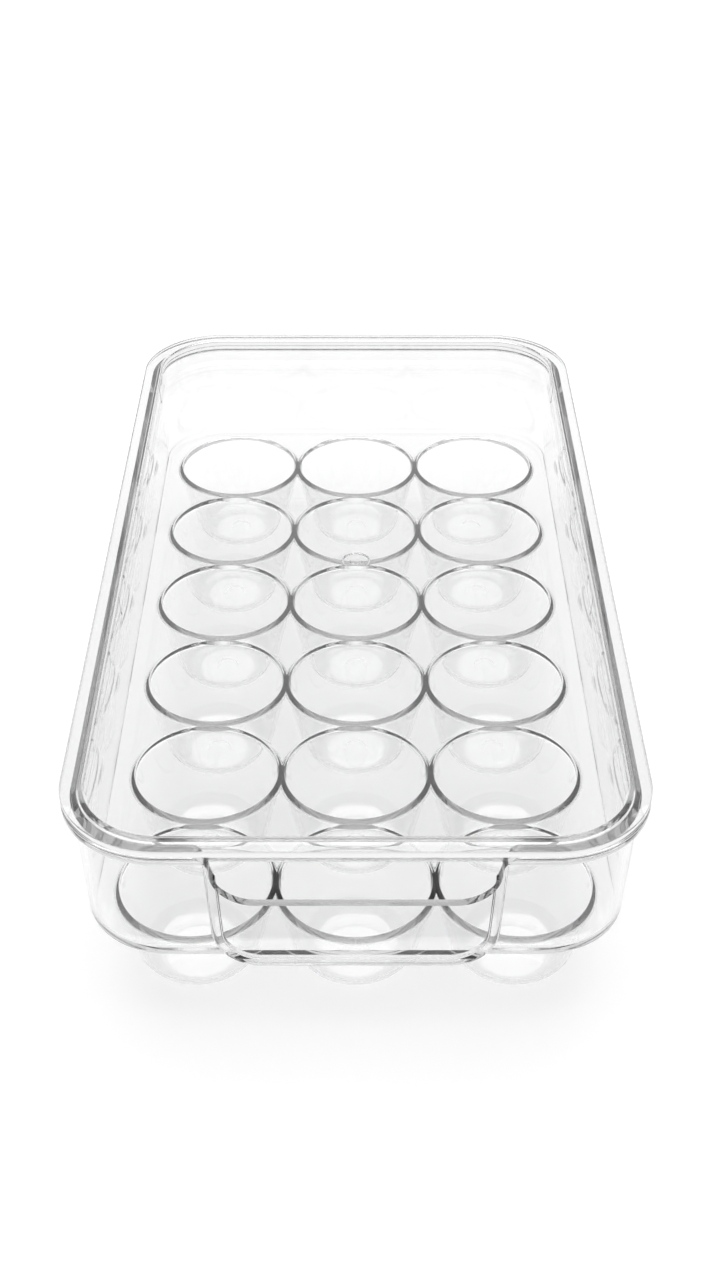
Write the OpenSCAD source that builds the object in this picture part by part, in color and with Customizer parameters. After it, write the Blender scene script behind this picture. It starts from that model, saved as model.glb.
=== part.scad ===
// Clear egg keeper: a moulded tray with a grid of egg cups and a loose lid.
// The tray stands on the feet of its cups. X is across, +Y is the back.
// The origin is on the table, under the middle of the tray.

/* [Egg cups] */
// Cups across the tray
cup_columns = 3; // [2:1:4]
// Cups from front to back
cup_rows = 6; // [3:1:8]
// Spacing of the cups across
pitch_x = 49; // [48:0.5:56]
// Spacing of the cups front to back
pitch_y = 50; // [48:0.5:58]
// Radius of a cup just under its rounded mouth
mouth_r = 23.5; // [21:0.1:23.6]
// Rounding of a cup's mouth
mouth_round = 1.8; // [1:0.1:2.2]
// Radius of the flat foot that a cup stands on
foot_r = 11; // [8:0.5:13]
// Rounding between a cup's side and its foot, inside
cup_round = 7.4; // [4:0.2:8.5]
// Thickness of a cup's wall
cup_wall = 1.8; // [1.2:0.1:2.2]
// Radius of the moulding mark in a cup's foot
foot_mark_r = 4.2; // [2:0.2:6]
// Depth of the moulding mark in a cup's foot
foot_mark_depth = 0.4; // [0.2:0.1:0.8]

/* [Tray] */
// Height of the deck's top above the table
deck_height = 31; // [28:0.5:40]
// Thickness of the deck
deck_t = 2.5; // [2:0.1:3.5]
// Height of the tray's rim above the table
tray_height = 72; // [68:0.5:90]
// Thickness of the tray's walls
wall_t = 2.0; // [1.6:0.1:2.6]
// Lean of the walls, in degrees
wall_draft = 2.6; // [1:0.1:4]
// Deck between the cup grid and a side wall
border_x = 5.5; // [4.5:0.1:12]
// Deck between the cup grid and an end wall
border_y = 4; // [3.2:0.1:12]
// Corner radius of the walls at their bottom edge
corner_r = 26; // [24:0.5:30]
// Rounding of the walls' bottom edge
base_round = 2.4; // [1:0.1:2.5]
// Rounding inside, where the walls meet the deck
foot_fillet = 1.6; // [0.8:0.1:2]
// Width of the rim outside the walls
rim_lip = 3.1; // [2:0.1:5]
// Thickness of the rim
rim_t = 3; // [2:0.1:4]
// Rounding of the rim's outer edges
rim_round = 0.8; // [0.3:0.1:0.9]

/* [Handle] */
// Half width of the handle panel at its bottom
handle_half_w = 41; // [30:0.5:46]
// Height of the handle panel's bottom above the table
handle_bottom = 27.2; // [27:0.1:28.4]
// Corner radius at the handle panel's bottom
handle_corner_r = 14.5; // [8:0.5:20]
// Thickness of the handle panel
handle_t = 2.6; // [2:0.1:3]
// Thickness of the pocket's floor behind the panel
pocket_floor_t = 1.9; // [1.6:0.1:2.4]
// Depth of the finger dip below the rim
dip_depth = 18.5; // [16:0.5:26]
// Rounding at the top of the dip
dip_top_r = 5.5; // [3:0.5:8]
// Rounding at the bottom of the dip
dip_low_r = 13; // [8:0.5:16]

/* [Lid] */
// Gap between the lid's rim and the tray's rim
lid_seat_gap = 0.3; // [0.2:0.05:0.6]
// Gap between the lid's well and the tray's walls
lid_side_gap = 0.35; // [0.3:0.05:1]
// Thickness of the lid's rim
lid_rim_t = 2.7; // [2:0.1:4]
// Rounding of the lid's outer top edge
lid_round = 1.2; // [0.4:0.1:1.8]
// Thickness of the wall of the lid's well
lid_wall_t = 1.6; // [1.2:0.1:2.4]
// Depth of the well below the lid's rim
well_depth = 9.2; // [6:0.2:14]
// Thickness of the lid's panel
panel_t = 2.1; // [1.6:0.1:3]
// Rounding under the well's bottom edge
well_round = 1.8; // [1:0.1:2]
// Rounding of the well's top edge
well_lip_round = 1; // [0.4:0.1:1.2]
// Radius of the gate mark in the middle of the lid
gate_r = 4.9; // [3:0.1:7]
// Depth of the gate mark
gate_depth = 0.5; // [0.3:0.1:0.8]
// Depth and width of the small marks along the well's sides
side_mark = 0.5; // [0.3:0.1:0.8]
// First side mark's distance from the lid's back edge
mark_first = 46; // [40:1:60]
// Distance between the two side marks
mark_spacing = 150; // [100:1:180]

/* [Hidden] */
$fn = 96;
tilt = tan(wall_draft);
base_z = deck_height - deck_t;
grid_x = cup_columns * pitch_x / 2;
grid_y = cup_rows * pitch_y / 2;
// Corner centres, shared by the deck, the walls, the rim and the lid
centre_x = grid_x + border_x + wall_t - corner_r;
centre_y = grid_y + border_y + wall_t - corner_r;
rim_z = tray_height - rim_t;
wall_top_r = corner_r + (rim_z - base_z) * tilt;
rim_r = wall_top_r + rim_lip;
deck_corner_r = corner_r - wall_t - foot_fillet - 0.3;
// Lid levels
lid_z = tray_height + lid_seat_gap;
lid_top = lid_z + lid_rim_t;
panel_top = lid_top - well_depth;
panel_z = panel_top - panel_t;
overlap = 0.5;

function wall_out(z) = corner_r + (z - base_z) * tilt;
function wall_in(z) = wall_out(z) - wall_t;
function well_out(z) = wall_in(z) - lid_side_gap;
function well_in(z) = well_out(z) - lid_wall_t;
function cup_name(row, column) = str("egg_cup_row", row, "_col", column);

// Outline with round corners, r measured from the shared corner centres
module round_rect(r) {
    square([2 * (centre_x + r), 2 * centre_y], center = true);
    square([2 * centre_x, 2 * (centre_y + r)], center = true);
    for (sx = [-1, 1]) for (sy = [-1, 1])
        translate([sx * centre_x, sy * centre_y]) circle(r);
}

// Runs a section, drawn as radius and height, once round the keeper
module around() {
    for (side = [0, 1]) rotate(180 * side) {
        translate([centre_x, centre_y, 0]) rotate_extrude(angle = 90) children();
        translate([centre_x, centre_y, 0]) rotate([90, 0, 0])
            linear_extrude(2 * centre_y) children();
        translate([-centre_x, centre_y, 0]) rotate(90) rotate_extrude(angle = 90) children();
        translate([-centre_x, centre_y, 0]) rotate(90) rotate([90, 0, 0])
            linear_extrude(2 * centre_x) children();
    }
}

// Bar that ends at x = 0, with both of its corners there rounded
module rounded_bar(width, height, r) {
    translate([-width, 0]) square([width - r, height]);
    translate([-width, r]) square([width, height - 2 * r]);
    for (z = [r, height - r]) translate([-r, z]) circle(r);
}

// Fills the inside corner at the origin, up and to the left
module fillet(r) {
    difference() {
        translate([-r, -overlap]) square([r + overlap, r + overlap]);
        translate([-r, r]) circle(r);
    }
}

// Wall, rounded at its bottom edge, with the rim on top
module wall_section() {
    reach = wall_t + foot_fillet;
    difference() {
        polygon([
            [corner_r - reach, base_z],
            [corner_r, base_z],
            [wall_out(rim_z), rim_z],
            [wall_out(rim_z), tray_height],
            [wall_in(tray_height), tray_height],
            [wall_in(deck_height), deck_height],
            [corner_r - reach, deck_height]]);
        translate([corner_r - base_round, base_z - overlap])
            difference() {
                square([base_round + 1, base_round + overlap]);
                translate([0, base_round + overlap]) circle(base_round);
            }
    }
    translate([wall_in(deck_height), deck_height]) fillet(foot_fillet);
    translate([rim_r, rim_z]) rounded_bar(rim_lip + wall_t / 2, rim_t, rim_round);
}

// Area taken by the cups: their grid, clipped at the deck's round corners
module cup_area() {
    intersection() {
        square([2 * grid_x, 2 * grid_y], center = true);
        round_rect(deck_corner_r);
    }
}

// Upright scoop with round lower corners and leaning sides
module scoop(half_w, bottom, r, top) {
    turn_x = half_w + r * tilt - r / cos(wall_draft);
    edge = [turn_x + r * cos(wall_draft), bottom + r - r * sin(wall_draft)];
    top_x = half_w + (top - bottom) * tilt;
    polygon([
        [-turn_x, bottom], [turn_x, bottom], edge, [top_x, top],
        [-top_x, top], [-edge.x, edge.y]]);
    for (side = [-1, 1]) translate([side * turn_x, bottom + r]) circle(r);
}

// Stands a front-view shape up and runs it from the front towards the back
module from_front(depth) {
    front = centre_y + rim_r + 2;
    translate([0, -front + depth, 0]) rotate([90, 0, 0]) linear_extrude(depth) children();
}

// Stands a side-view shape up, drawn as distance in front of the centre and height
module from_side(half_w) {
    rotate([90, 0, -90]) translate([0, 0, -half_w]) linear_extrude(2 * half_w) children();
}

// Handle panel: its face is flush with the rim and leans as the walls do.
// Above the deck it starts in the middle of the wall, clear of the lid's well.
module handle_body() {
    face = centre_y + rim_r;
    low_face = face - (rim_z - handle_bottom) * tilt;
    inner = centre_y + wall_in(deck_height);
    middle = centre_y - wall_t / 2;
    intersection() {
        from_front(rim_r) scoop(handle_half_w, handle_bottom, handle_corner_r, rim_z + overlap);
        from_side(2 * handle_half_w) polygon([
            [inner, handle_bottom], [low_face, handle_bottom],
            [face, rim_z], [face, rim_z + overlap],
            [middle + wall_out(rim_z + overlap), rim_z + overlap],
            [middle + wall_out(deck_height), deck_height], [inner, deck_height]]);
    }
}

// Room behind the panel, open to the tray
module handle_pocket() {
    face = centre_y + rim_r - handle_t;
    low_face = face - (rim_z - handle_bottom) * tilt;
    floor_z = handle_bottom + pocket_floor_t;
    step = centre_y + wall_in(deck_height);
    intersection() {
        from_front(2 * rim_r)
            scoop(handle_half_w - handle_t, floor_z, handle_corner_r - handle_t, tray_height + 1);
        from_side(2 * handle_half_w) polygon([
            [step, floor_z], [low_face, floor_z],
            [face, rim_z], [face, tray_height + 1],
            [step - 2 * foot_fillet, tray_height + 1],
            [step - 2 * foot_fillet, deck_height], [step, deck_height]]);
    }
}

// Dip in the rim that lets a finger in under the lid
module finger_dip() {
    dip_z = tray_height - dip_depth;
    half_w = handle_half_w + (rim_z - handle_bottom) * tilt - handle_t + 1;
    side_z = tray_height - dip_top_r;
    from_front(rim_r) {
        translate([-half_w, dip_z + dip_low_r]) square([2 * half_w, dip_depth]);
        translate([-half_w + dip_low_r, dip_z]) square([2 * (half_w - dip_low_r), dip_depth]);
        for (side = [-1, 1])
            translate([side * (half_w - dip_low_r), dip_z + dip_low_r]) circle(dip_low_r);
        for (side = [0, 1]) mirror([side, 0]) difference() {
            translate([half_w - overlap, side_z]) square([dip_top_r + overlap, 2 * dip_top_r]);
            translate([half_w + dip_top_r, side_z]) circle(dip_top_r);
        }
    }
}

module tray_shell() {
    color([0.93, 0.95, 0.96, 0.4])
    difference() {
        union() {
            around() wall_section();
            translate([0, 0, base_z]) linear_extrude(deck_t) difference() {
                round_rect(corner_r - wall_t);
                cup_area();
            }
            handle_body();
        }
        handle_pocket();
        finger_dip();
    }
}

// Side view of a cup, filled: a leaning side tangent to a round bottom corner
module cup_section(grow) {
    centre = [foot_r, cup_wall + cup_round];
    mouth = [mouth_r, deck_height - mouth_round];
    away = mouth - centre;
    lean = atan2(away.y, away.x) - acos(cup_round / norm(away));
    normal = [cos(lean), sin(lean)];
    r = cup_round + grow;
    low = centre + r * normal;
    high = mouth + grow * normal;
    polygon([
        [0, centre.y - r], [foot_r, centre.y - r], low, high,
        [high.x, deck_height], [0, deck_height]]);
    intersection() {
        translate(centre) circle(r);
        translate([0, centre.y - r]) square([centre.x + r, 2 * r]);
    }
}

// Hollow of a cup, flared at its mouth and marked in its foot
module cup_hollow() {
    rotate_extrude() {
        cup_section(0);
        difference() {
            translate([0, deck_height - mouth_round])
                square([mouth_r + mouth_round, mouth_round + overlap]);
            translate([mouth_r + mouth_round, deck_height - mouth_round]) circle(mouth_round);
        }
        translate([0, cup_wall - foot_mark_depth]) square([foot_mark_r, foot_mark_depth + overlap]);
    }
}

module egg_cup(row, column) {
    x = (column - (cup_columns + 1) / 2) * pitch_x;
    y = (row - (cup_rows + 1) / 2) * pitch_y;
    color([0.88, 0.92, 0.95, 0.4])
    difference() {
        intersection() {
            union() {
                translate([x, y, 0]) rotate_extrude() cup_section(cup_wall);
                translate([x - pitch_x / 2, y - pitch_y / 2, base_z])
                    cube([pitch_x, pitch_y, deck_t]);
            }
            translate([x - pitch_x / 2, y - pitch_y / 2, -1])
                cube([pitch_x, pitch_y, deck_height + 1]);
            if (abs(x) + pitch_x > grid_x && abs(y) + pitch_y > grid_y)
                translate([0, 0, -1]) linear_extrude(deck_height + 1) cup_area();
        }
        translate([x, y, 0]) cup_hollow();
    }
}

// Lid's rim, and the wall of the well that drops inside the tray
module lid_section() {
    edge = 2 * well_round;
    difference() {
        polygon([
            [well_in(panel_z) - edge, panel_z],
            [well_out(panel_z), panel_z],
            [well_out(lid_z), lid_z],
            [rim_r, lid_z],
            [rim_r, lid_top],
            [well_in(lid_top), lid_top],
            [well_in(panel_top), panel_top],
            [well_in(panel_z) - edge, panel_top]]);
        translate([well_out(panel_z) - well_round, panel_z - overlap])
            difference() {
                square([well_round + 1, well_round + overlap]);
                translate([0, well_round + overlap]) circle(well_round);
            }
        translate([rim_r - lid_round, lid_top - lid_round])
            difference() {
                square(lid_round + overlap);
                circle(lid_round);
            }
        translate([well_in(lid_top) + well_lip_round, lid_top - well_lip_round])
            difference() {
                translate([-well_lip_round - overlap, 0]) square(well_lip_round + overlap);
                circle(well_lip_round);
            }
    }
}

// Sunk ring left by the gate, round a small raised centre
module gate_mark() {
    translate([0, 0, panel_top - gate_depth]) difference() {
        cylinder(h = gate_depth + 1, r = gate_r);
        translate([0, 0, -1]) cylinder(h = gate_depth + 0.8, r = 0.45 * gate_r);
    }
}

// Small upright marks in the well's long sides
module side_marks() {
    for (side = [-1, 1]) for (place = [mark_first, mark_first + mark_spacing])
        translate([side * (centre_x + well_in(panel_top)), centre_y + rim_r - place,
                panel_top + 1])
            cylinder(h = well_depth - 2, r = side_mark);
}

module lid() {
    color([0.96, 0.97, 0.98, 0.4])
    difference() {
        union() {
            around() lid_section();
            translate([0, 0, panel_z]) linear_extrude(panel_t)
                round_rect(well_in(panel_z) - 1.5 * well_round);
        }
        gate_mark();
        side_marks();
    }
}

tray_shell();
for (row = [1:cup_rows]) for (column = [1:cup_columns])
    egg_cup(row, column);
lid();
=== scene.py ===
from math import acos, atan2, cos, hypot, pi, radians, sin, tan

import bpy
import bmesh
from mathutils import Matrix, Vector


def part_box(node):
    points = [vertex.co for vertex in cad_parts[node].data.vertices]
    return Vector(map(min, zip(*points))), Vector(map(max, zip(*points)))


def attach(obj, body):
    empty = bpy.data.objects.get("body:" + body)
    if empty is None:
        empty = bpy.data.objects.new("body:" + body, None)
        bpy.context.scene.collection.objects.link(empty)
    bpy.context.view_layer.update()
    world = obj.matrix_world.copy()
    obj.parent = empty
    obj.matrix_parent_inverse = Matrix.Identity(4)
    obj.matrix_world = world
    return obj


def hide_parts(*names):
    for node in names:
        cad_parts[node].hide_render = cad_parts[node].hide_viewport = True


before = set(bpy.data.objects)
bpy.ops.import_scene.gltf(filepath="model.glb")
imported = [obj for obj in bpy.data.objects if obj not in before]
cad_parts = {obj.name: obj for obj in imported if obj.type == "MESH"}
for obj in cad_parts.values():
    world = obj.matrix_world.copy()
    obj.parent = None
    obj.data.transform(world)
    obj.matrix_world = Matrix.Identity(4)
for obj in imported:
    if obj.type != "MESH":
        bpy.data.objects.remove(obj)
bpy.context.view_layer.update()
print("frame loaded:", len(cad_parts), "nodes")

mm = 0.001

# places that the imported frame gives
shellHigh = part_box("tray_shell")[1]
cupLow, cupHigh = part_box("egg_cup_row1_col1")
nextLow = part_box("egg_cup_row2_col2")[0]
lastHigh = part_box("egg_cup_row6_col3")[1]
lidLow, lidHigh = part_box("lid")

wallLean = 2.6     # degrees, the same for all four walls
past = 1 * mm      # how far a cutter runs past the face that it cuts


# sections and outlines are lists of points

def wallOut(z):
    return tray["cornerRadius"] + (z - tray["base"]) * tray["draft"]


def wallIn(z):
    return wallOut(z) - tray["wall"]


def arc(centre, radius, start, end, steps):
    angles = [radians(start + (end - start) * i / steps) for i in range(steps + 1)]
    return [(centre[0] + radius * cos(a), centre[1] + radius * sin(a)) for a in angles]


def tangentPoint(centre, radius, point):
    # where a line from point touches the circle, on its outer lower side
    dx, dy = point[0] - centre[0], point[1] - centre[1]
    lean = atan2(dy, dx) - acos(radius / hypot(dx, dy))
    return lean, (centre[0] + radius * cos(lean), centre[1] + radius * sin(lean))


def scoop(halfWidth, bottom, radius, top, steps):
    # front view of the handle: round lower corners, sides that lean out
    lean = radians(wallLean)
    turnX = halfWidth + radius * tan(lean) - radius / cos(lean)
    right = arc((turnX, bottom + radius), radius, -90, -wallLean, steps)
    right.append((halfWidth + (top - bottom) * tan(lean), top))
    left = [(-x, z) for x, z in reversed(right)]
    return left + right


# meshes are made from sections

def meshObject(name, verts, faces):
    data = bpy.data.meshes.new(name)
    data.from_pydata(verts, [], faces)
    data.validate()
    work = bmesh.new()
    work.from_mesh(data)
    bmesh.ops.remove_doubles(work, verts=work.verts, dist=1e-7)
    bmesh.ops.recalc_face_normals(work, faces=work.faces)
    work.to_mesh(data)
    work.free()
    piece = bpy.data.objects.new(name, data)
    bpy.context.scene.collection.objects.link(piece)
    return piece


def sweepRound(name, section):
    # runs a section (radius, height) round the keeper and closes both ends flat
    verts, faces = [], []
    steps = tray["cornerSteps"]
    corners = [(1, 1, 0), (-1, 1, 90), (-1, -1, 180), (1, -1, 270)]
    for sx, sy, start in corners:
        for i in range(steps + 1):
            a = radians(start + 90 * i / steps)
            for radius, z in section:
                verts.append((sx * tray["centreX"] + radius * cos(a),
                              sy * tray["centreY"] + radius * sin(a), z))
    count, n = len(section), 4 * (steps + 1)
    for i in range(n):
        j = (i + 1) % n
        for k in range(count - 1):
            faces.append((i * count + k, j * count + k, j * count + k + 1, i * count + k + 1))
    faces.append([i * count for i in reversed(range(n))])
    faces.append([i * count + count - 1 for i in range(n)])
    return meshObject(name, verts, faces)


def turned(name, section, turns, place=(0, 0)):
    # revolves a section (radius, height) that starts and ends on the axis
    verts, faces = [], []
    ring = section[1:-1]
    for i in range(turns):
        a = 2 * pi * i / turns
        verts += [(place[0] + r * cos(a), place[1] + r * sin(a), z) for r, z in ring]
    low, high = len(verts), len(verts) + 1
    verts += [(place[0], place[1], section[0][1]), (place[0], place[1], section[-1][1])]
    count = len(ring)
    for i in range(turns):
        j = (i + 1) % turns
        for k in range(count - 1):
            faces.append((i * count + k, j * count + k, j * count + k + 1, i * count + k + 1))
        faces.append((low, j * count, i * count))
        faces.append((high, i * count + count - 1, j * count + count - 1))
    return meshObject(name, verts, faces)


def frontLoft(name, rings):
    # joins front-view outlines (x, z), each on its own surface y(z), from front to back
    n = len(rings[0][0])
    verts, faces = [], []
    for outline, place in rings:
        verts += [(x, place(z), z) for x, z in outline]
    for k in range(len(rings) - 1):
        for i in range(n):
            j = (i + 1) % n
            faces.append((k * n + i, k * n + n + i, k * n + n + j, k * n + j))
    faces.append(list(range(n)))
    faces.append(list(range(len(verts) - 1, len(verts) - n - 1, -1)))
    return meshObject(name, verts, faces)


def scoopRings(grow, top, front, edge, back):
    # scoop rings with a round front edge; grow makes the scoop wider and lower
    rings = []
    for k in range(6):
        a = radians(18 * k)
        inset, depth = edge * (1 - sin(a)), edge * (1 - cos(a))
        outline = scoop(handle["halfWidth"] + grow - inset, handle["bottom"] - grow + inset,
                        handle["corner"] + grow - inset, top, handle["arcSteps"])
        rings.append((outline, lambda z, depth=depth: front(z) + depth))
    rings.append((rings[-1][0], back))
    return rings


def combine(base, other, operation):
    step = base.modifiers.new(operation, "BOOLEAN")
    step.operation = operation
    step.solver = "MANIFOLD"
    step.object = other
    settle(base)
    bpy.data.objects.remove(other)


def settle(piece):
    # makes the modifiers' result the piece's own mesh
    view = bpy.context.evaluated_depsgraph_get()
    view.update()
    result = bpy.data.meshes.new_from_object(piece.evaluated_get(view))
    piece.modifiers.clear()
    piece.data = result


# a geometry node tree repeats the cups

def gridTree():
    tree = bpy.data.node_groups.new("cupGrid", "GeometryNodeTree")
    face = tree.interface
    face.new_socket("Geometry", in_out="INPUT", socket_type="NodeSocketGeometry")
    for name, kind, value in (("Columns", "NodeSocketInt", grid["columns"]),
                              ("Rows", "NodeSocketInt", grid["rows"]),
                              ("Pitch X", "NodeSocketFloat", grid["pitchX"]),
                              ("Pitch Y", "NodeSocketFloat", grid["pitchY"]),
                              ("Parity", "NodeSocketInt", 0),
                              ("Material", "NodeSocketMaterial", None)):
        socket = face.new_socket(name, in_out="INPUT", socket_type=kind)
        if value is not None:
            socket.default_value = value
    face.new_socket("Geometry", in_out="OUTPUT", socket_type="NodeSocketGeometry")
    add, join = tree.nodes.new, tree.links.new
    given = add("NodeGroupInput")

    def maths(operation, a, b):
        node = add("ShaderNodeMath")
        node.operation = operation
        for i, value in enumerate((a, b)):
            if isinstance(value, (int, float)):
                node.inputs[i].default_value = value
            else:
                join(value, node.inputs[i])
        return node.outputs[0]

    points = add("GeometryNodeMeshGrid")
    for count, axis in (("Columns", "X"), ("Rows", "Y")):
        gaps = maths("SUBTRACT", given.outputs[count], 1)
        join(maths("MULTIPLY", gaps, given.outputs["Pitch " + axis]), points.inputs["Size " + axis])
        join(given.outputs[count], points.inputs["Vertices " + axis])
    index = add("GeometryNodeInputIndex").outputs[0]
    column = maths("FLOOR", maths("DIVIDE", index, given.outputs["Rows"]), 0)
    checker = maths("MODULO", maths("ADD", index, maths("MULTIPLY", column,
                    maths("SUBTRACT", 1, given.outputs["Rows"]))), 2)
    picked = maths("COMPARE", checker, given.outputs["Parity"])
    place = add("GeometryNodeInstanceOnPoints")
    join(points.outputs["Mesh"], place.inputs["Points"])
    join(picked, place.inputs["Selection"])
    join(given.outputs["Geometry"], place.inputs["Instance"])
    real = add("GeometryNodeRealizeInstances")
    join(place.outputs[0], real.inputs[0])
    finish = add("GeometryNodeSetMaterial")
    join(real.outputs[0], finish.inputs["Geometry"])
    join(given.outputs["Material"], finish.inputs["Material"])
    leave = add("NodeGroupOutput")
    join(finish.outputs[0], leave.inputs[0])
    return tree


def repeatCups(piece, tree, parity, material):
    repeat = piece.modifiers.new("cupGrid", "NODES")
    repeat.node_group = tree
    keys = {s.name: s.identifier for s in tree.interface.items_tree if s.in_out == "INPUT"}
    repeat[keys["Parity"]] = parity
    repeat[keys["Material"]] = material
    settle(piece)
    return piece


def clearPlastic(name, look):
    made = bpy.data.materials.new(name)
    made.use_nodes = True
    tree = made.node_tree
    shader = tree.nodes["Principled BSDF"]
    shader.inputs["Base Color"].default_value = (*look["tint"], 1)
    shader.inputs["Transmission Weight"].default_value = 1
    shader.inputs["IOR"].default_value = look["ior"]
    depth = tree.nodes.new("ShaderNodeVolumeAbsorption")     # long ways inside a wall go grey
    depth.inputs["Color"].default_value = (*look["depthColour"], 1)
    depth.inputs["Density"].default_value = look["depthDensity"]
    tree.links.new(depth.outputs[0], tree.nodes["Material Output"].inputs["Volume"])
    place = tree.nodes.new("ShaderNodeTexCoord")
    ripple = tree.nodes.new("ShaderNodeTexNoise")     # faint flow ripples of the moulding
    ripple.inputs["Scale"].default_value = look["rippleScale"]
    ripple.inputs["Detail"].default_value = look["rippleDetail"]
    tree.links.new(place.outputs["Object"], ripple.inputs["Vector"])
    bump = tree.nodes.new("ShaderNodeBump")
    bump.inputs["Strength"].default_value = look["rippleStrength"]
    bump.inputs["Distance"].default_value = look["rippleDepth"]
    tree.links.new(ripple.outputs["Fac"], bump.inputs["Height"])
    tree.links.new(bump.outputs["Normal"], shader.inputs["Normal"])
    scuff = tree.nodes.new("ShaderNodeTexNoise")      # fine handling haze in patches
    scuff.inputs["Scale"].default_value = look["scuffScale"]
    scuff.inputs["Detail"].default_value = look["scuffDetail"]
    tree.links.new(place.outputs["Object"], scuff.inputs["Vector"])
    haze = tree.nodes.new("ShaderNodeMapRange")
    haze.inputs["From Min"].default_value = look["scuffRange"][0]
    haze.inputs["From Max"].default_value = look["scuffRange"][1]
    haze.inputs["To Min"].default_value = look["polish"]
    haze.inputs["To Max"].default_value = look["haze"]
    tree.links.new(scuff.outputs["Fac"], haze.inputs["Value"])
    tree.links.new(haze.outputs["Result"], shader.inputs["Roughness"])
    return made


trayLook = {
    "tint": (0.995, 0.996, 0.997),
    "ior": 1.5,
    "depthColour": (0.9, 0.9, 0.9),
    "depthDensity": 200,
    "rippleScale": 28,
    "rippleDetail": 1.5,
    "rippleStrength": 0.12,
    "rippleDepth": 0.00012,
    "scuffScale": 60,
    "scuffDetail": 6,
    "scuffRange": (0.45, 0.8),     # noise values where the haze begins and is full
    "polish": 0.0,
    "haze": 0.03,
}
lidLook = dict(trayLook, depthDensity=25, rippleScale=16, haze=0.02)
trayPlastic = clearPlastic("clearTrayPlastic", trayLook)
lidPlastic = clearPlastic("clearLidPlastic", lidLook)


# the tray is one seamless moulding
grid = {
    "columns": 3,
    "rows": 6,
    "pitchX": nextLow.x - cupLow.x,
    "pitchY": nextLow.y - cupLow.y,
    "halfX": lastHigh.x,
    "halfY": lastHigh.y,
}

tray = {
    "deckTop": cupHigh.z,
    "deckThickness": 2.5 * mm,
    "rimTop": shellHigh.z,
    "rimThickness": 3 * mm,
    "rimLip": 3.1 * mm,
    "rimRound": 0.8 * mm,
    "innerRound": 0.4 * mm,      # the rim's edge above the wall's inner face
    "wall": 2 * mm,
    "draft": tan(radians(wallLean)),
    "borderX": 5.5 * mm,
    "borderY": 4 * mm,
    "cornerRadius": 26 * mm,
    "baseRound": 2.4 * mm,
    "footFillet": 1.6 * mm,
    "cornerSteps": 24,
}
tray["base"] = tray["deckTop"] - tray["deckThickness"]
tray["centreX"] = grid["halfX"] + tray["borderX"] + tray["wall"] - tray["cornerRadius"]
tray["centreY"] = grid["halfY"] + tray["borderY"] + tray["wall"] - tray["cornerRadius"]
tray["rimBottom"] = tray["rimTop"] - tray["rimThickness"]

cup = {
    "mouth": 23.5 * mm,
    "mouthRound": 0.5 * mm,
    "underFillet": 1.2 * mm,     # outside, where the cup meets the deck's underside
    "intoDeck": 0.6 * mm,        # the solid cup overlaps the deck by this much
    "foot": 11 * mm,
    "round": 7.4 * mm,
    "wall": 1.8 * mm,
    "markRadius": 4.2 * mm,
    "markDepth": 0.4 * mm,
    "markSlope": 0.3 * mm,
    "turns": 96,
}

handle = {
    "halfWidth": 41 * mm,
    "bottom": 27.2 * mm,
    "corner": 14.5 * mm,
    "thickness": 2.6 * mm,
    "floor": 1.9 * mm,
    "intoRim": 0.4 * mm,         # the panel overlaps the rim by this much
    "dipDepth": 18.5 * mm,
    "dipExtra": 1 * mm,          # the dip is this much wider than the pocket, on each side
    "dipTopRound": 5.5 * mm,
    "dipLowRound": 13 * mm,
    "outerRound": 1.8 * mm,      # round edge of the panel's face
    "innerRound": 0.9 * mm,      # the same inside the pocket
    "lipRound": 0.7 * mm,
    "lipReach": 4 * mm,          # how far past the dip its edges are looked for
    "lipAngle": radians(40),     # an edge sharper than this belongs to the dip's lip
    "arcSteps": 20,
}


def traySection():
    base, top = tray["base"], tray["rimTop"]
    low = tray["rimBottom"]
    rim = wallOut(low) + tray["rimLip"]
    r, e = tray["baseRound"], tray["rimRound"]
    foot, inner = tray["footFillet"], tray["innerRound"]
    deck = tray["deckTop"]
    section = arc((tray["cornerRadius"] - r, base + r), r, -90, 0, 6)
    section.append((wallOut(low), low))
    section += arc((rim - e, low + e), e, -90, 0, 4)
    section += arc((rim - e, top - e), e, 0, 90, 4)
    section += arc((wallIn(top) + inner, top - inner), inner, 90, 180, 3)
    section += arc((wallIn(deck) - foot, deck + foot), foot, 0, -90, 6)
    return section


def cupSide(grow):
    # the round bottom corner, and the leaning side up to the mouth
    centre = (cup["foot"], cup["wall"] + cup["round"])
    mouth = (cup["mouth"], tray["deckTop"] - cup["mouthRound"])
    lean, touch = tangentPoint(centre, cup["round"], mouth)
    turn = arc(centre, cup["round"] + grow, -90, lean * 180 / pi, 10)
    high = (mouth[0] + grow * cos(lean), mouth[1] + grow * sin(lean))
    return turn, high, lean


def cupSolid():
    turn, high, lean = cupSide(cup["wall"])
    flare, under = cup["underFillet"], tray["base"]
    slope = -tan(lean)
    start = high[0] + (under - flare - high[1]) * slope
    section = [(0, turn[0][1])] + turn + [(start, under - flare)]
    for a in (pi / 8, pi / 4, 3 * pi / 8, pi / 2):
        radius = start + flare * (1 - cos(a)) + slope * flare * a / (pi / 2)
        section.append((radius, under - flare + flare * sin(a)))
    edge, top = section[-1][0], under + cup["intoDeck"]
    section += [(edge, top), (0, top)]
    return turned("cupSolid", section, cup["turns"])


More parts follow.
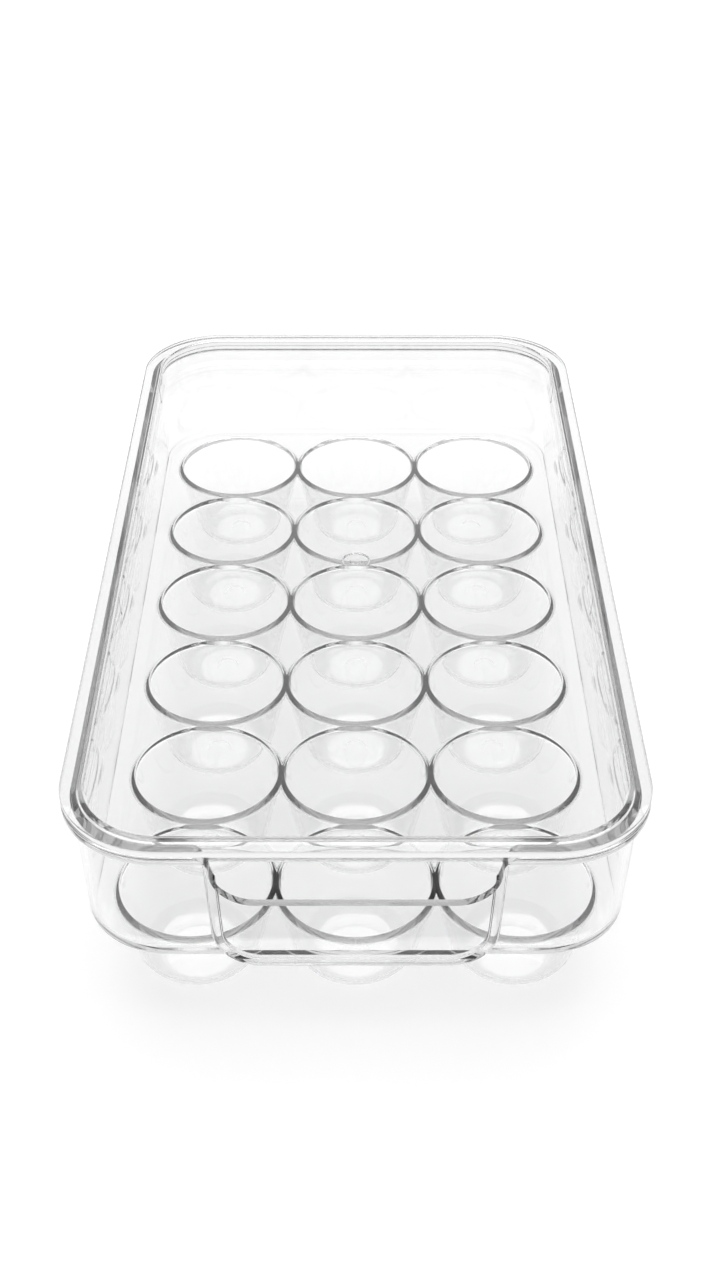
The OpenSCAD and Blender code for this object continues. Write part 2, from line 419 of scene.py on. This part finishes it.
def cupHollow():
    turn = cupSide(0)[0]
    deck, r = tray["deckTop"], cup["mouthRound"]
    floor, mark = turn[0][1], cup["markRadius"]
    sink = floor - cup["markDepth"]
    section = [(0, sink), (mark - cup["markSlope"], sink), (mark, floor)] + turn
    section += arc((cup["mouth"] + r, deck - r), r, 180, 94, 4)
    section += [(cup["mouth"] + r, deck + past), (0, deck + past)]
    return turned("cupHollow", section, cup["turns"])


def buildTray():
    piece = sweepRound("egg_tray", traySection())
    tree = gridTree()
    for parity in (0, 1):
        combine(piece, repeatCups(cupSolid(), tree, parity, trayPlastic), "UNION")
    print("tray: cups joined")
    low, deck, slope = tray["rimBottom"], tray["deckTop"], tray["draft"]
    face = tray["centreY"] + wallOut(low) + tray["rimLip"]
    inner = -(tray["centreY"] + wallIn(deck))
    thick, floor = handle["thickness"], handle["floor"]

    def outside(z):
        return -(face - max(low - z, 0) * slope)

    def inside(z):
        return -(face - thick - (low - z) * slope)

    def middleOfWall(z):
        return -(tray["centreY"] + wallOut(z) - tray["wall"] / 2)

    def block(name, outline, front, end):
        return frontLoft(name, [(outline, front), (outline, end)])

    def at(y):
        return lambda z: y

    body = scoopRings(0, low + handle["intoRim"], outside, handle["outerRound"], middleOfWall)
    combine(piece, frontLoft("handleBody", body), "UNION")
    slab = [(x, z) for x, z in body[-1][0] if z < deck - past]
    combine(piece, block("handleFloor", slab, middleOfWall, at(inner)), "UNION")
    pocket = scoopRings(-thick, tray["rimTop"] + past, inside, handle["innerRound"], at(inner))
    pocket = [([(x, z + floor - thick) for x, z in outline], place) for outline, place in pocket]
    combine(piece, frontLoft("pocket", pocket), "DIFFERENCE")
    above = [(x, max(z, deck)) for x, z in pocket[-1][0] if z > deck - past]
    back = inner + 2 * tray["footFillet"]
    combine(piece, block("pocketAbove", above, at(inner - past / 2), at(back)), "DIFFERENCE")
    combine(piece, block("fingerDip", dipOutline(), at(-(face + 2 * past)), at(back)), "DIFFERENCE")
    roundDipEdges(piece, inner)
    print("tray: handle cut")
    for parity in (0, 1):
        combine(piece, repeatCups(cupHollow(), tree, parity, trayPlastic), "DIFFERENCE")
    print("tray: cups hollowed")
    return piece


def roundDipEdges(piece, inner):
    # rolls the lip of the finger dip and the ends of the rim beside it
    low = tray["rimTop"] - handle["dipDepth"] - past / 2
    reach = handle["halfWidth"] + handle["dipTopRound"] + handle["lipReach"]
    work = bmesh.new()
    work.from_mesh(piece.data)

    def near(v):
        return v.co.z > low and abs(v.co.x) < reach and v.co.y < inner - tray["wall"]

    lip = [e for e in work.edges if len(e.link_faces) == 2
           and e.calc_face_angle(0) > handle["lipAngle"] and all(near(v) for v in e.verts)]
    bmesh.ops.bevel(work, geom=lip, offset=handle["lipRound"], segments=3, profile=0.5,
                    affect="EDGES", clamp_overlap=True)
    bmesh.ops.recalc_face_normals(work, faces=work.faces)
    work.to_mesh(piece.data)
    work.free()


def dipOutline():
    top = tray["rimTop"]
    half = handle["halfWidth"] + (tray["rimBottom"] - handle["bottom"]) * tray["draft"]
    half = half - handle["thickness"] + handle["dipExtra"]
    bottom = top - handle["dipDepth"]
    r, e, steps = handle["dipLowRound"], handle["dipTopRound"], handle["arcSteps"]
    right = arc((half - r, bottom + r), r, -90, 0, steps)
    right += arc((half + e, top - e), e, 180, 90, steps // 2)
    right.append((half + e, top + 2 * past))
    left = [(-x, z) for x, z in reversed(right)]
    return left + right


def finishEdges(piece, material):
    # normals that keep the flats flat and the rounds round
    sharpFrom = 35
    piece.data.shade_smooth()
    piece.data.set_sharp_from_angle(angle=radians(sharpFrom))
    weight = piece.modifiers.new("normals", "WEIGHTED_NORMAL")
    weight.keep_sharp = True
    settle(piece)
    piece.data.materials.clear()
    piece.data.materials.append(material)


eggTray = buildTray()
finishEdges(eggTray, trayPlastic)
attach(eggTray, "tray")
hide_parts(*[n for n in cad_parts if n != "lid"])


# the lid is the other moulding
lid = {
    "bottom": tray["rimTop"] + 0.3 * mm,
    "top": lidHigh.z,
    "sideGap": 0.35 * mm,
    "edgeRound": 0.25 * mm,
    "underRound": 0.5 * mm,
    "slopeWidth": 2.4 * mm,      # the rim's top falls a little towards its outer edge
    "slopeDrop": 0.35 * mm,
    "wellWall": 1.6 * mm,
    "panel": lidLow.z,
    "panelThickness": 2.1 * mm,
    "wellRound": 3.5 * mm,
    "lipRound": 1 * mm,
    "footFillet": 1.9 * mm,
    "gateRadius": 4.9 * mm,
    "gateDepth": 0.5 * mm,
    "gateMiddle": 0.15 * mm,          # depth of the gate mark's flat middle
    "gateShare": (0.4, 0.45, 0.9),    # where its groove begins and is deep, of the radius
    "marks": (46 * mm, 196 * mm),     # small marks in the long sides, from the back edge
    "markRadius": 0.5 * mm,
    "markMargin": 1 * mm,             # above the panel and below the rim's top
}


def wellOut(z):
    return wallIn(z) - lid["sideGap"]


def wellIn(z):
    return wellOut(z) - lid["wellWall"]


def lidSection():
    low, top, under = lid["bottom"], lid["top"], lid["panel"]
    rim = wallOut(tray["rimBottom"]) + tray["rimLip"]
    panel = under + lid["panelThickness"]
    r, e = lid["wellRound"], lid["edgeRound"]
    lip, foot, u = lid["lipRound"], lid["footFillet"], lid["underRound"]
    section = arc((wellOut(under) - r, under + r), r, -90, 0, 6)
    section.append((wellOut(low), low))
    section += arc((rim - u, low + u), u, -90, 0, 4)
    section += arc((rim - e, top - lid["slopeDrop"] - e), e, 0, 80, 3)
    section.append((rim - lid["slopeWidth"], top))
    section += arc((wellIn(top) + lip, top - lip), lip, 90, 180, 5)
    section += arc((wellIn(panel) - foot, panel + foot), foot, 0, -90, 4)
    return section


def buildLid():
    piece = sweepRound("keeper_lid", lidSection())
    panel = lid["panel"] + lid["panelThickness"]
    deep, r = panel - lid["gateDepth"], lid["gateRadius"]
    middle, (start, full, end) = panel - lid["gateMiddle"], lid["gateShare"]
    ring = [(0, middle), (start * r, middle), (full * r, deep), (end * r, deep),
            (r, panel + past / 1000), (r, panel + past), (0, panel + past)]
    combine(piece, turned("gateRing", ring, 64), "DIFFERENCE")
    r, low, high = lid["markRadius"], panel + lid["markMargin"], lid["top"] - lid["markMargin"]
    for away in lid["marks"]:
        for side in (-1, 1):
            place = (side * (tray["centreX"] + wellIn(panel)), lidHigh.y - away)
            mark = turned("sideMark", [(0, low), (r, low), (r, high), (0, high)], 24, place)
            combine(piece, mark, "DIFFERENCE")
    return piece


keeperLid = buildLid()
finishEdges(keeperLid, lidPlastic)
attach(keeperLid, "lid")
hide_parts("lid")
print("lid made")


# floor, light and camera
stage = {
    "floorHalf": 1.7,
    "floorColour": (0.3, 0.3, 0.3),
    "floorRoughness": 0.8,
    "floorGlow": 0.8,
    "dark": 0.04,
    "bright": 0.95,
    "overhead": (0.75, 0.95),     # height of a direction where the ceiling light comes in
    "backdrop": (0.5, 0.85),      # the same for the white backdrop behind the keeper
    "softbox": 1.8,
    "softboxPlace": (0, 0.3, 1.5),
    "softboxAim": (0, 0.1, 0),
    "softboxPower": 20,
    "bounces": 160,               # light runs the whole length of a wall inside it
}


def buildFloor():
    h = stage["floorHalf"]
    floor = meshObject("floor", [(-h, -h, 0), (h, -h, 0), (h, h, 0), (-h, h, 0)], [(0, 1, 2, 3)])
    paint = bpy.data.materials.new("floorWhite")
    paint.use_nodes = True
    shader = paint.node_tree.nodes["Principled BSDF"]
    shader.inputs["Base Color"].default_value = (*stage["floorColour"], 1)
    shader.inputs["Roughness"].default_value = stage["floorRoughness"]
    shader.inputs["Emission Color"].default_value = (1, 1, 1, 1)
    shader.inputs["Emission Strength"].default_value = stage["floorGlow"]
    floor.data.materials.append(paint)


def buildWorld():
    # a bright ceiling and backdrop, and a dim room at the sides and behind the camera
    world = bpy.data.worlds.new("studio")
    bpy.context.scene.world = world
    world.use_nodes = True
    tree = world.node_tree
    add, join = tree.nodes.new, tree.links.new
    place = add("ShaderNodeTexCoord")
    split = add("ShaderNodeSeparateXYZ")
    join(place.outputs["Generated"], split.inputs[0])
    either = add("ShaderNodeMath")
    either.operation = "MAXIMUM"
    for i, (part, axis) in enumerate((("overhead", "Z"), ("backdrop", "Y"))):
        ramp = add("ShaderNodeMapRange")
        ramp.name = part
        ramp.interpolation_type = "SMOOTHSTEP"
        ramp.inputs["From Min"].default_value, ramp.inputs["From Max"].default_value = stage[part]
        ramp.inputs["To Min"].default_value = stage["dark"]
        ramp.inputs["To Max"].default_value = stage["bright"]
        join(split.outputs[axis], ramp.inputs["Value"])
        join(ramp.outputs["Result"], either.inputs[i])
    back = tree.nodes["Background"]
    back.inputs["Color"].default_value = (1, 1, 1, 1)
    join(either.outputs[0], back.inputs["Strength"])


def softbox(name, place, target, size, power):
    data = bpy.data.lights.new(name, "AREA")
    data.shape = "RECTANGLE"
    data.size, data.size_y = size
    data.energy = power
    lamp = bpy.data.objects.new(name, data)
    lamp.location = place
    lamp.rotation_euler = (Vector(target) - Vector(place)).to_track_quat("-Z", "Y").to_euler()
    bpy.context.scene.collection.objects.link(lamp)


buildFloor()
buildWorld()
softbox("overhead", stage["softboxPlace"], stage["softboxAim"],
        (stage["softbox"], stage["softbox"]), stage["softboxPower"])

view = {
    "place": (0.00036, -0.5265, 0.409),
    "tilt": 35.663,
    "lens": 50.14,
    "sensor": 36,
}
cameraData = bpy.data.cameras.new("camera")
cameraData.lens = view["lens"]
cameraData.sensor_width = view["sensor"]
camera = bpy.data.objects.new("camera", cameraData)
camera.location = view["place"]
camera.rotation_euler = (radians(90 - view["tilt"]), 0, 0)
bpy.context.scene.collection.objects.link(camera)
bpy.context.scene.camera = camera

scene = bpy.context.scene
for kind in ("max_bounces", "transmission_bounces", "glossy_bounces"):
    setattr(scene.cycles, kind, stage["bounces"])
scene.view_settings.view_transform = "Standard"

print("scene built")
